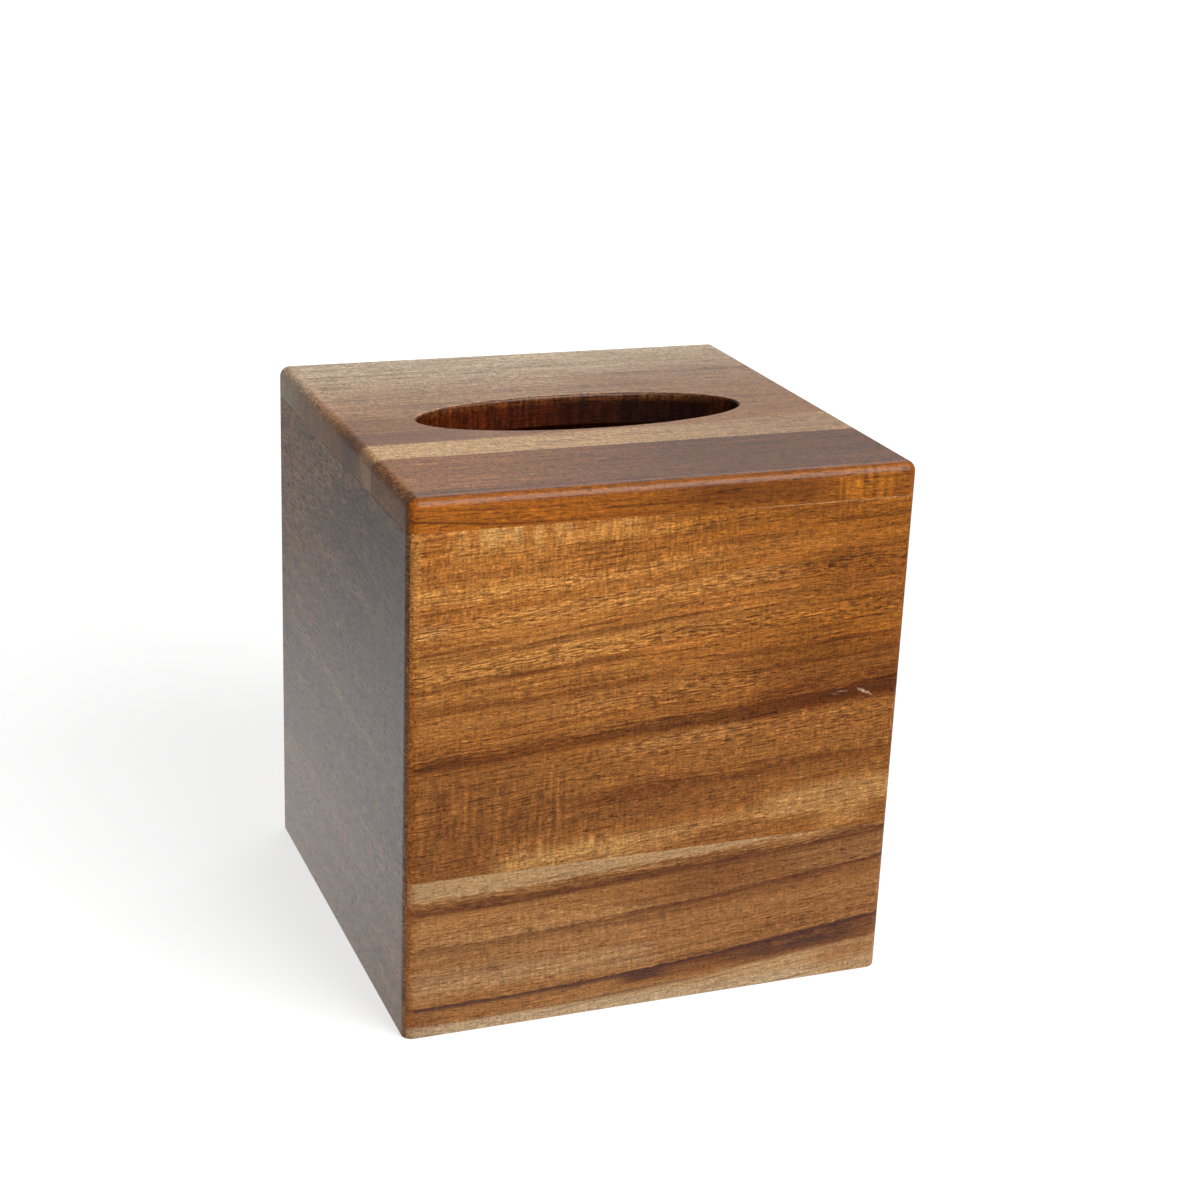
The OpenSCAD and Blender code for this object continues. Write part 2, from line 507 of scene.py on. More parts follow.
class Marks(Masks):
    """Adds masks for dashes, knots, and the upright bars of curly wood."""

    def dashes(self, length, width, share, soft=0.08):
        """Dashes of this length and width in mm, few where share is 0 and dense where it's 1.

        They are the crests of a cloud that is a little larger than they are.
        """
        crest = self.clouds(1.6 * length, 1.4 * width) + share * 0.16
        return soft_step(crest, DASH_CREST, DASH_CREST + soft)

    def spot(self, u, v, length, width, tilt):
        """An oval mark on the face, turned up by so many degrees towards its right end."""
        turn = math.radians(tilt)
        over, up = self.u - u, self.v - v
        ahead = (over * math.cos(turn) + up * math.sin(turn)) / (length / 2)
        aside = (up * math.cos(turn) - over * math.sin(turn)) / (width / 2)
        return soft_step(ahead * ahead + aside * aside + self.ragged * 2, 1.2, 0.2)

    def bars(self, spacing, height):
        """Noise about 0.5 in upright bars, each about so many mm wide and high."""
        across = (self.u + self.ragged * (spacing * 0.3)) / spacing + self.seed
        place = self.node("ShaderNodeCombineXYZ", across, self.v / height, self.w / height)
        return self.node("ShaderNodeTexNoise", Vector=place, Scale=1.0, Detail=2.0, Roughness=0.6)

    def flames(self, base, tip, spacing):
        """Bars that rise from a base and end at different heights, up to a tip."""
        length = (self.bars(spacing, TALL_MM) - 0.3) * ((tip - base) / 0.4)
        return soft_step(self.v - base + self.ragged - length, 2.5, -2.5)

    def bar(self, start, end, bottom, top, fade=3, soft=0.8):
        """An upright bar from one place along the board to another, frayed at both ends."""
        across = between(self.u + self.ragged * 0.5, start, end, soft)
        return across * between(self.v + self.ragged * 2, bottom, top, fade)


# %% [markdown]
# ## Paint
# Painting mixes a colour in where a mask is, and staining multiplies by a tint, which deepens
# light and dark wood alike. Curl is neither: it is light that the tilted fibres throw back, so it
# scales the brightness in soft upright bars. A Mix node has a set of sockets for each kind of
# data, so its colours are found by their numbers.

# %% Paint
WHITE = (1, 1, 1, 1)
GLUE_TINT = (0.7, 0.62, 0.5)
MIX_MASK, MIX_FIRST, MIX_SECOND, MIX_RESULT = 0, 6, 7, 2


class Paint(Marks):
    """Adds the ways to change the board's colour."""

    def mix(self, mask, first, second):
        """The first colour where the mask is 0 and the second where it's 1."""
        node = self.tree.nodes.new("ShaderNodeMix")
        node.data_type = "RGBA"
        plug(mask, node.inputs[MIX_MASK])
        plug(first, node.inputs[MIX_FIRST])
        plug(second, node.inputs[MIX_SECOND])
        return Wire(node.outputs[MIX_RESULT])

    def paint(self, mask, colour):
        """Covers the board with a colour where the mask is."""
        self.colour = self.mix(mask, self.colour, colour)

    def stain(self, mask, tint):
        """Multiplies the colour by a tint where the mask is."""
        self.colour = self.node("ShaderNodeVectorMath", self.colour,
                                self.mix(mask, WHITE, (*tint, 1)),
                                settings={"operation": "MULTIPLY"})

    def light(self, factor):
        """Scales the colour's brightness by a wire."""
        self.colour = self.node("ShaderNodeVectorMath", self.colour, Scale=factor,
                                settings={"operation": "SCALE"})

    def ground(self, dark, middle, pale, contrast=1.0):
        """The board's own colour, in soft bands and drawn-out fibres."""
        bands = (self.clouds(170, 6, 1) - 0.5) * (1.6 * contrast)
        ramp = self.tree.nodes.new("ShaderNodeValToRGB")
        stops = ramp.color_ramp.elements
        stops[0].color, stops[1].color = dark, pale
        stops.new(0.5).color = middle
        plug(bands + self.strand * (1.6 * contrast) + 0.5, ramp.inputs[0])
        self.colour = Wire(ramp.outputs[0])

    def curl(self, mask, spacing, height, depth):
        """Bars of curl that stand across the grain, where the mask is."""
        bars = soft_step(self.bars(spacing, height), 0.32, 0.68) - 0.5
        self.light(bars * mask * (2 * depth) + 1)

    def glue_line(self, at, reach):
        """Darkens the wood beside a glue line, from reach up to a hair from the line."""
        self.stain(soft_step(self.v, at + reach, at + math.copysign(0.05, reach)) * 0.5, GLUE_TINT)

    def open_pores(self, mask):
        """Makes pores denser where the mask is, or rarer where it's below 0."""
        self.pores = self.pores + mask


# %% [markdown]
# ## Texture and lacquer
# Every board ends the same way. Fibres and specks break up the colour, thin darker lines are drawn
# through it, and open pores show as short dark dashes with pale ones beside them, where the pore's
# wall catches the light. A satin lacquer then goes over it all: a clear coat, less glossy than
# varnish, that lets the pores show a little in the highlights through a fine bump.

# %% The finished board
DARKER = (0.55, 0.45, 0.36)
PALER = (1.36, 1.4, 1.5)
PORE = (0.34, 0.24, 0.15)
LACQUER = {"IOR": 1.4, "Specular IOR Level": 0.2, "Coat Roughness": 0.3, "Coat IOR": 1.36}


class Board(Paint):
    """One board's material, from its ground to its lacquer."""

    def finish(self, texture=1.0, relief_mm=0.06, coat=0.8):
        """Adds texture, pores and lacquer. Texture and relief are numbers, or wires that vary."""
        speck = self.clouds(0.8, 0.36) - 0.5
        weave = self.clouds(0.7, 4) - 0.5
        ribbon = self.clouds(45, 2, 1) - 0.5
        grain = self.fibre * 1.3 + self.strand * 0.6 + ribbon * 0.35 + speck * 1.1 + weave * 0.4
        self.light(grain * texture + 1)
        lines = self.dashes(0.64 * self.strand_mm, 0.45, 0.5, soft=0.12)
        self.stain(lines * 0.6 * texture, DARKER)
        self.stain(self.dashes(1.5, 0.42, self.pores + 0.35, soft=0.1) * texture, PALER)
        dark = self.dashes(2.2, 0.3, self.pores)
        self.stain(dark * 0.75, PORE)
        shader = self.tree.nodes["Principled BSDF"]
        plug(self.colour, shader.inputs["Base Color"])
        plug(dark * 0.2 + self.fibre * 0.25 + 0.45, shader.inputs["Roughness"])
        for name, value in {**LACQUER, "Coat Weight": coat}.items():
            shader.inputs[name].default_value = value
        relief = self.node("ShaderNodeBump", Strength=0.5, Distance=relief_mm * MM,
                           Height=self.fibre * 0.5 - dark)
        plug(relief, shader.inputs["Normal"])
        self.say("finished")
        return self.material


# %% [markdown]
# ## Wood colours
# Acacia runs from honey to dark umber within one board, and its sapwood is nearly cream. These
# are the colours that the boards are painted with, from pale to dark. The three tints after them
# are stains: one toasts the wood, one lies in the hollows of curl and one lets it gleam.

# %% Wood colours
PARCHMENT = colour_of(206, 183, 150)
BUTTER = colour_of(206, 162, 106)
KNOT = colour_of(200, 162, 132)
WHEAT = colour_of(210, 160, 92)
CREAM = colour_of(190, 152, 110)
HIGHLIGHT_TAN = colour_of(200, 146, 108)
BLUSH = colour_of(184, 143, 114)
SAPWOOD = colour_of(182, 143, 99)
HONEY = colour_of(198, 137, 66)
STRAW = colour_of(186, 134, 76)
FAWN = colour_of(184, 134, 82)
BUFF = colour_of(174, 125, 75)
BISCUIT = colour_of(162, 120, 80)
GOLD = colour_of(179, 113, 45)
TAN = colour_of(162, 109, 60)
ORANGE = colour_of(168, 94, 18)
AMBER = colour_of(160, 96, 36)
CLAY = colour_of(148, 91, 38)
CINNAMON = colour_of(148, 85, 18)
WALNUT = colour_of(120, 86, 60)
RUSSET = colour_of(124, 73, 32)
CHESTNUT = colour_of(106, 54, 12)
SHADE = colour_of(88, 60, 43)
DUSK = colour_of(94, 48, 21)
TOBACCO = colour_of(98, 42, 0)
UMBER = colour_of(82, 41, 12)
SIENNA = colour_of(84, 32, 6)
PLUM = colour_of(66, 38, 36)
EMBER = colour_of(26, 7, 3)

TOASTED = (0.86, 0.74, 0.56)
HOLLOW = (0.7, 0.64, 0.6)
GLEAM = (1.2, 1.25, 1.2)
print("honey in linear light:", [round(c, 3) for c in HONEY])

# %% [markdown]
# ## The front wall's upper stave
# This stave carries the figure that the eye goes to first: gold at the top left, darker to the
# right, with two bands of open pores that rise to the right, a dark streak that frays upwards,
# and curl below it. The ground and the broad tones come first.
#
# Each line below is one stroke of the brush. The mask comes first, with its places in mm: u from
# the middle of the wall to the right, v up from the foot. The factor after it is the stroke's
# strength, from 0 to 1, and the colour comes last.

# %% Front upper stave, broad tones
wood = Board("front_upper_wood", "front", seed=1, flow=(-5.5, 0, 4))
wood.ground(AMBER, GOLD, HONEY)
wood.paint(wood.streak(86, 112, below=4, above=5) * 0.4, CLAY)
wood.paint(wood.above(92, soft=5) * soft_step(wood.u, -15, 55) * 0.85, CINNAMON)
wood.paint(wood.above(131, soft=4) * soft_step(wood.u, -30, 20) * 0.7, CINNAMON)
wood.paint(wood.patch(-20, 40, 110, 134) * 0.3, AMBER)
wood.paint(wood.below(81, soft=4) * 0.9, CLAY)
wood.paint(wood.patch(25, 80, 86, 99) * 0.5, CHESTNUT)
wood.paint(wood.patch(-80, 20, 90, 101) * 0.5, CLAY)
wood.paint(wood.streak(113, 116, below=2, above=2) * 0.4, AMBER)
wood.paint(wood.patch(45, 80, 112, 126) * 0.3, CHESTNUT)
wood.paint(wood.patch(-80, -20, 104, 113) * 0.4, HONEY)
right_top = wood.patch(-5, 80, 98, 142, soft=10)
wood.light((wood.clouds(34, 3, 1) - 0.5) * right_top * 1.1 + 1)
wood.paint(wood.patch(-75, -36, 70, 84) * 0.4, RUSSET)
wood.paint(wood.patch(-72, 10, 57, 68, soft=6) * 0.5, RUSSET)
wood.paint(wood.patch(-72, -45, 50, 58, soft=6) * 0.6, RUSSET)
wood.paint(wood.streak(63.5, 66, below=2, above=2) * wood.along(-20, 75) * 0.6, CHESTNUT)
wood.paint(wood.patch(-10, 30, 56, 62, soft=5) * 0.4, RUSSET)
wood.paint(wood.patch(32, 72, 49, 57, soft=5) * 0.85, STRAW)
wood.paint(wood.patch(48, 62, 43, 50, soft=5) * 0.5, STRAW)
wood.paint(wood.patch(-42, 34, 50, 53.5, soft=4) * 0.5, STRAW)
wood.paint(wood.patch(-16, 10, 47, 52, soft=4) * 0.5, STRAW)
wood.paint(wood.patch(2, 42, 46, 49, soft=3) * 0.3, RUSSET)
wood.say("broad tones")

# %% [markdown]
# The streak is three layers, as a painter would glaze it: a wide soft halo, a body, and a dark
# core at the ends. Thin lines follow the same grain. The pale flecks beside the streak are what is
# left of a small knot.

# %% Front upper stave, lines and the streak
for height, start, end in ((103.9, -75, -12), (96.8, -60, 4), (99.7, 14, 75),
                           (111.4, -58, 8), (114, -75, -44), (94.6, 15, 75)):
    wood.paint(wood.thread(height, start, end, above=0.8) * 0.55, CHESTNUT)
halo = wood.streak((81, 80.8, 79.5), (86.5, 87.5, 87.5), below=2, above=3.5)
wood.paint(halo * (soft_step(wood.u, 0, 50) * 0.25 + 0.32), TOBACCO)
body = wood.streak((82.2, 81.2, 80.6), (84.6, 84.8, 85), below=0.9, above=1.8)
wood.paint(body * (soft_step(wood.u, 0, 45) * 0.2 + 0.56), TOBACCO)
ends = soft_step(wood.u, -45, -65) + soft_step(wood.u, 15, 50)
core = wood.streak((82.6, 82.2, 81.8), (84, 84.2, 84.4), below=0.7, above=1.4)
wood.paint(core * ends * 0.75, UMBER)
wood.paint(core * wood.along(-24, 28, soft=9) * 0.4, UMBER)
wood.paint(wood.patch(-16, 24, 77, 80.5, soft=5) * 0.25, STRAW)
for u, v, length, width, tilt, strength in ((58.8, 86.1, 5, 1.0, -26, 0.65),
                                            (60.8, 85.1, 2.6, 0.7, -36, 0.4),
                                            (52.4, 86.7, 3.4, 0.6, -4, 0.25),
                                            (50, 86.2, 2.4, 0.5, 4, 0.2)):
    wood.paint(wood.spot(u, v, length, width, tilt) * strength, KNOT)
wood.say("lines and the streak")

# %% [markdown]
# Where the fibres wave, the wood throws light back in upright bars. Beside the top board's seam
# and over the glue line they are broad and pale; left of the middle they are dark.

# %% Front upper stave, bars and pores
hanging = soft_step(wood.bars(2.6, TALL_MM), 0.3, 0.6) * 0.7 + 0.3
for start, end, bottom, strength in ((-51.5, -40, 136.5, 0.65), (-37.5, -34.5, 135, 0.5),
                                     (-32, -27, 137, 0.35), (-58, -54, 136, 0.25),
                                     (-20, -9, 140, 0.6)):
    bar = wood.bar(start, end, bottom, 150, fade=4, soft=1)
    wood.paint(hanging * bar * strength, WHEAT)
wood.paint(wood.bar(-51, -46, 136.5, 150, fade=1.5, soft=0.4) * 0.3, WHEAT)
wood.stain(wood.bar(-66, -60, 130, 150, fade=6, soft=1) * 0.7, TOASTED)
wood.paint(wood.flames(46.5, 55, 1.8) * wood.along(-46, -8, soft=5) * 0.42, WHEAT)
for start, end, bottom, top in ((-62, -58, 56, 70), (-55.5, -54.5, 58, 72), (-50, -48, 54, 69),
                                (-41, -39, 54, 68), (-36, -35, 58, 68), (-28, -26.5, 56, 66)):
    wood.stain(wood.bar(start, end, bottom, top) * 0.6, HOLLOW)
wood.curl(wood.patch(-75, 20, 118, 143, soft=5, level=True), 0.9, 4, 0.22)
wood.curl(wood.patch(-75, -5, 50, 74, level=True), 1.9, 8, 0.2)
wood.curl(wood.patch(-66, -24, 52, 72, soft=6, level=True), 1.2, 14, 0.2)
wood.curl(wood.patch(-5, 75, 46, 80), 2.2, 6, 0.12)
upper_band = wood.streak(118, 122.2, below=0.8, above=0.8)
lower_band = wood.streak(105.5, 109, below=0.8, above=0.8)
wood.paint(upper_band * wood.along(-52, 34) * 0.45, HONEY)
wood.paint(lower_band * wood.along(-52, -5) * 0.35, HONEY)
wood.paint(wood.patch(-72, -58, 118, 121.5, soft=4) * 0.5, STRAW)
wood.open_pores(upper_band)
wood.open_pores(lower_band)
wood.open_pores(wood.streak(126.5, 129.5, below=0.8, above=0.8) * wood.along(-50, 0) * 0.7)
wood.open_pores(wood.patch(-25, 35, 89.5, 95, soft=5) * 0.9)
wood.open_pores(wood.patch(-12, 66, 72, 81, soft=5) * 0.6)
wood.open_pores(wood.bar(-52, -8, 133, 150, fade=2) * -0.5)
wood.say("bars and pores")

# %% [markdown]
# Last come the edges. The sanded corner at the left is a clear orange, partly a painted highlight,
# and a painted highlight in honey near the top. The one at the right is in its own shade, painted
# darker. Along the seam under the top board, a pale thread is a painted highlight on the arris.

# %% Front upper stave, edges and lacquer
def front_corners(wood):
    """Both front boards' corners: sanded and a painted highlight left, painted shade right."""
    # The left corner: sanded, and orange as a painted highlight on its round-over.
    wood.paint(soft_step(wood.u, -66.8, -68.8) * 0.6, ORANGE)
    # The right corner: painted shade on its round-over.
    wood.paint(soft_step(wood.u, 68.8, 69.8) * 0.6, UMBER)


front_corners(wood)
# A painted highlight in honey on the left corner, near the top.
wood.paint(soft_step(wood.u, -66, -67.6) * wood.above(116, soft=10) * 0.6, HONEY)
# A painted highlight: a pale thread on the arris along the seam under the top board.
wood.paint(between(wood.v, 140.7, 141.2, 0.15) * soft_step(wood.u, 5, 40) * 0.4, CREAM)
wood.glue_line(GLUE_Z / MM, reach=0.35)
materials = {"front_upper": wood.finish(texture=1.15, coat=0.6)}

# %% [markdown]
# ## The front wall's lower stave
# The lower stave is a cooler brown. Sapwood edges it at the top left and along the foot, and three
# dark streaks run with its grain. The lowest is a hair line at the left that opens into a plum
# patch at the right, just above the sapwood.

# %% Front lower stave, ground and stripes
wood = Board("front_lower_wood", "front", seed=2, flow=(-2.5, 0, 5.5), wander=0.45)
wood.ground(TAN, BUFF, FAWN, contrast=0.9)
wood.paint(wood.patch(-75, 40, 30.5, 42, soft=5) * 0.6, CLAY)
wood.paint(wood.patch(0, 80, 26, 40, soft=12) * 0.65, RUSSET)
wood.paint(wood.below(29, soft=3) * 0.25, CLAY)
wood.paint(wood.below(29, soft=4) * soft_step(wood.u, -30, 40) * 0.45, CLAY)
wood.paint(wood.below(13, soft=2) * soft_step(wood.u, -10, -50) * 0.5, CLAY)
for end, bottom, top, tone in ((-12, 29, 34, STRAW), (0, 13, 19, CREAM)):
    wood.paint(wood.patch(-80, end, bottom, top, soft=4, level=True) * 0.35, tone)
cream_stripe = wood.above(42.7, soft=0.8)
wood.paint(cream_stripe, SAPWOOD)
wood.say("ground and stripes")

# %% Front lower stave, dark streaks
wood.paint(wood.streak(38.2, 41, below=1.2, above=2.5) * 0.6, RUSSET)
wood.paint(wood.streak(38.5, 39.5, below=0.9, above=1.8) * 0.75, DUSK)
wood.paint(wood.streak((27, 26, 28.5), (28.5, 28.6, 30.6), below=2, above=0.6) * 0.5, RUSSET)
middle_line = wood.streak((28, 28.2, 30.4), (28.8, 29, 31.1), below=0.7, above=0.6)
wood.paint(middle_line * (soft_step(wood.u, -45, 25) * 0.45 + 0.3), DUSK)
wood.paint(wood.streak((20, 20, 21), (20.5, 20.5, 21.5), below=0.5, above=0.8) * 0.4, RUSSET)
wood.paint(wood.streak(24, 24.6, below=0.4, above=0.6) * wood.along(-75, -40) * 0.4, RUSSET)
wood.paint(wood.streak(15.2, 15.8, below=0.5, above=0.8) * wood.along(-20, 75) * 0.4, RUSSET)
wood.say("dark streaks")

# %% Front lower stave, the plum patch
plum_ground = wood.streak((9.5, 7.5, 5.5), (10.5, 11, 12.5), below=1.2, above=0.8)
wood.paint(plum_ground * wood.along(-10, 80) * 0.75, RUSSET)
wood.paint(wood.patch(25, 80, 13, 18, soft=6) * 0.25, RUSSET)
wood.paint(wood.patch(4, 36, 9.5, 12.5, soft=5) * 0.35, DUSK)
wood.paint(wood.patch(26, 64, 6.5, 10.8, soft=9) * 0.75, PLUM)
wood.paint(wood.patch(42, 56, 7.5, 9.5, soft=5) * 0.5, PLUM)
wood.paint(wood.patch(-8, 4, 8, 10.2, soft=3) * 0.8, PLUM)
wood.paint(wood.patch(-26, -19, 9, 10.4, soft=2) * 0.5, PLUM)
wood.paint(wood.streak((10.2, 10, 12), (11.4, 11.3, 13.4), below=0.8, above=0.8) * 0.5, DUSK)
wood.paint(wood.streak((10.5, 10.3, 12), (11.1, 11, 13), below=0.5, above=0.5) * 0.7, PLUM)
wood.say("plum patch")

# %% Front lower stave, foot, edges and lacquer
foot_stripe = wood.below(5.2, soft=0.5)
wood.paint(foot_stripe, SAPWOOD)
wood.paint(wood.patch(-75, -60, 3, 9, soft=4) * 0.6, RUSSET)
wood.paint(wood.patch(50, 72, 0, 4.5, soft=5) * 0.8, TAN)
wood.paint(wood.streak(4.7, 5.2, below=0.4, above=0.4) * wood.along(-30, 20) * 0.5, DUSK)
wood.curl(wood.patch(-60, 20, 12, 34), 1.6, 5, 0.12)
front_corners(wood)
wood.paint(soft_step(wood.v, 4, 2.5) * wood.along(-90, 50) * 0.4, PARCHMENT)
wood.glue_line(GLUE_Z / MM, reach=-0.25)
wood.open_pores((cream_stripe + foot_stripe) * -0.5)
materials["front_lower"] = wood.finish(texture=0.95, coat=0.7)

# %% [markdown]
# ## The top board's front stave
# From above this stave is the darkest, and greyer to the right. Its front edge is a clear orange
# brown, with level lines and a few bright bars of curl at the right. The edge's marks are placed by
# w, the depth under the top face.

# %% Top front stave
wood = Board("top_front_wood", "top", seed=3, wander=0.6)
wood.ground(RUSSET, CLAY, TAN, contrast=0.65)
wood.paint(soft_step(wood.u, -70, 30) * 0.78, UMBER)
# Painted shade: a darker band along the front of the top, where it begins to round over.
wood.paint(soft_step(wood.v, -62, -65) * 0.8, CHESTNUT)
front_edge = soft_step(wood.v, -66.5, -68.7)
wood.paint(front_edge, ORANGE)
wood.paint(front_edge * soft_step(wood.u, -30, 0) * 0.8, CINNAMON)
wood.paint(front_edge * between(wood.u, 2, 44, 8) * between(wood.w, 2, 8, 2) * 0.7, CHESTNUT)
wood.paint(front_edge * between(wood.w, 1.2, 2.6, 1) * soft_step(wood.u, -62, -50) * 0.5, CHESTNUT)
falling = soft_step(wood.u, -38, -75) * -2.3 + 7.8
depth = wood.w + wood.ragged * 0.25
lines = between(depth - falling, 0, 0.7, 0.3) * soft_step(wood.u, -24, -38)
lines = lines + between(depth, 7.6, 8.6, 0.4) * between(wood.u, -30, 0, 6) * 0.6
lines = lines + between(depth, 5.6, 6.2, 0.3) * between(wood.u, -18, 22, 5)
lines = lines + between(depth - falling * 0.5, 0, 0.5, 0.3) * between(wood.u, -66, -10, 8) * 0.6
wood.paint(front_edge * lines * 0.85, CHESTNUT)
wood.stain(front_edge * between(wood.u, 47, 62, 3) * 0.7, GLEAM)
wood.curl(front_edge * between(wood.u, 46, 64, 3), 1.6, 12, 0.28)
wood.glue_line(GLUE_Y / MM, reach=-0.3)
grainy = soft_step(wood.v, -68, -65) * 1.2 + 0.8
materials["top_front"] = wood.finish(texture=grainy, relief_mm=0.1, coat=0.6)

# %% [markdown]
# ## The top board's rear stave
# A band of sapwood lies along the glue line, and shows again as end grain on the left edge, where
# it narrows with depth. Towards the back the stave fades to a pale grey brown, a painted reflection
# of the lacquer, and its left round-over gets a painted highlight. The opening's wall is painted by
# its distance from the oval, its tones all painted light and shade: reddish at the left, where
# light reaches it, and nearly black at the right, with upright marks from the cutter.

# %% Top rear stave, tones and lines
wood = Board("top_rear_wood", "top", seed=4)
wood.ground(CLAY, TAN, STRAW, contrast=0.7)
# Painted reflection: the lacquer's sheen, paler towards the back.
wood.paint(soft_step(wood.v, -10, 76) * 0.95, PARCHMENT)
wood.paint(wood.patch(-75, -10, -22, 4, soft=10) * 0.5, RUSSET)
wood.paint(wood.patch(-55, 80, 10, 32, soft=14) * 0.16, RUSSET)
wood.paint(wood.patch(34, 85, 34, 60, soft=14) * 0.3, RUSSET)
wood.paint(wood.patch(-80, -38, -22, -10, soft=7) * 0.45, DUSK)
wood.paint(wood.patch(10, 80, -25, 40, soft=16) * 0.4, RUSSET)
for height, start, end in ((-8, -75, -44), (3, -75, -40), (14, -75, -20),
                           (24, -60, 40), (36, -30, 75), (50, -75, 30)):
    line = wood.streak(height, height + 0.8, below=0.6, above=2)
    wood.paint(line * wood.along(start, end) * 0.35, DUSK)
wood.say("tones and lines")

# %% Top rear stave, sapwood and left edge
sapwood = wood.streak(-40, wood.bend(-22.5, -21, -17.5) - wood.w * 0.6, below=0.5, above=1.5)
wood.paint(sapwood, BUTTER)
wood.paint(sapwood * soft_step(wood.u, -60, 65) * 0.95, BISCUIT)
left_edge = soft_step(wood.u, -66.5, -69)
wood.paint(left_edge * between(wood.v + wood.ragged * 5, -18, -6, 4) * 0.5, DUSK)
wood.paint(left_edge * between(wood.v + wood.ragged * 8, -2, 45, 8) * 0.5, AMBER)
under_rim = soft_step(wood.w, 1, 4)
wood.paint(under_rim * soft_step(wood.v, 10, 60) * soft_step(wood.u, -68, -60) * 0.6, BUFF)
wood.paint(left_edge * between(wood.v, -36, -15, 3) * 0.45, CLAY)
# A painted highlight on the left round-over, paler towards the back.
highlit_round_over = soft_step(wood.u, -65, -67.5) * soft_step(wood.w, 3.2, 1.6)
wood.paint(highlit_round_over * soft_step(wood.v, -8, 32) * 0.85, HIGHLIGHT_TAN)
wood.paint(highlit_round_over * soft_step(wood.v, 18, 50) * 0.7, PARCHMENT)
wood.say("sapwood and left edge")

# %% Top rear stave, the opening's wall and lacquer
oval_x, oval_y = wood.u * (2 * MM / OPENING_W), wood.v * (2 * MM / OPENING_D)
oval = oval_x * oval_x + oval_y * oval_y
# The opening's wall in painted shade and light: dark all round, nearly black at the right,
# and lighter under the far rim and at the right end.
inside = soft_step(oval, 1.3, 1.2) * soft_step(wood.w, 0.0, 0.5)
wood.paint(inside, SIENNA)
wood.paint(inside * soft_step(wood.u, -30, 30) * 0.9, EMBER)
wood.paint(inside * soft_step(wood.w, 3, 1) * soft_step(wood.v, 4, 12) * 0.5, RUSSET)
wood.paint(inside * soft_step(wood.u, 40, 47) * 0.5, DUSK)
wood.curl(inside, 1.2, 12, 0.45)
wood.glue_line(GLUE_Y / MM, reach=0.3)
materials["top_rear"] = wood.finish(texture=under_rim * -0.6 + 1.5, relief_mm=0.08)

# %% [markdown]
# ## The left wall
# The left wall is in half shade. What can be read there is a plain brown, lighter towards the back,
# with fine level lines, one thin dark line and a few short flecks. Seen so flat, its open pores
# stand out, so its bump is deep, but the sanded corner towards the front is smooth, and amber with
# painted light on its round-over.

# %% Left boards
def finish_left(wood, texture):
    """The corner, sanded and with painted light, and the finish, which both left boards share."""
    # Painted light: amber on the corner's round-over.
    wood.paint(soft_step(wood.u, 66, 68.2) * 0.65, AMBER)
    coarse = soft_step(wood.u, 67.5, 65.5)
    return wood.finish(texture=texture, relief_mm=coarse * 0.7 + 0.1)


wood = Board("left_upper_wood", "left", seed=5, flow=(1.5, 0, -2), strand_mm=6)
wood.ground(SHADE, WALNUT, BISCUIT, contrast=0.8)
wood.paint(soft_step(wood.u, 15, -60) * wood.above(78, soft=12) * 0.45, BUFF)
wood.paint(wood.streak((104, 138, 170), 200, below=13, above=2) * 0.55, BLUSH)
wood.paint(soft_step(wood.u, -10, 60) * wood.above(80, soft=20) * 0.6, SHADE)
wood.paint(wood.streak(119.2, 119.8, below=0.3, above=0.5) * wood.along(2, 30) * 0.8, UMBER)
for u, v in ((34.5, 76), (12, 68), (-29, 74)):
    wood.paint(wood.spot(u, v, 7, 1.4, -4) * 0.6, UMBER)
wood.light((wood.clouds(9, 4, 2) - 0.5) * 1.5 + 1)
wood.stain(wood.dashes(4, 0.7, wood.pores + 0.3, soft=0.12) * 0.9, PORE)
wood.open_pores(0.5)
materials["left_upper"] = finish_left(wood, texture=1.1)

wood = Board("left_lower_wood", "left", seed=6, flow=(1, 0, -1.5), strand_mm=6)
wood.ground(SHADE, WALNUT, BISCUIT, contrast=0.8)
wood.light((wood.clouds(9, 4, 2) - 0.5) * 1.5 + 1.35)
wood.paint(wood.below(5, soft=1) * 0.5, FAWN)
wood.open_pores(0.4)
materials["left_lower"] = finish_left(wood, texture=1.0)

# %% [markdown]
# ## The right and back walls
# Neither is seen in the photograph. The walls are cut from one glued-up plank and wrapped round
# the corners, so the streaks that leave the front at its right edge run on round the right wall
# and then the back. Each board keeps the figure but gets its own noise, curl and tilt.

# %% Right and back boards
UNSEEN = (("right", 7, (4, 1.5, -2.5), (5.5, 2, 0), 24),
          ("back", 9, (-2.5, -4, 1), (0, 1.5, -2), -30))

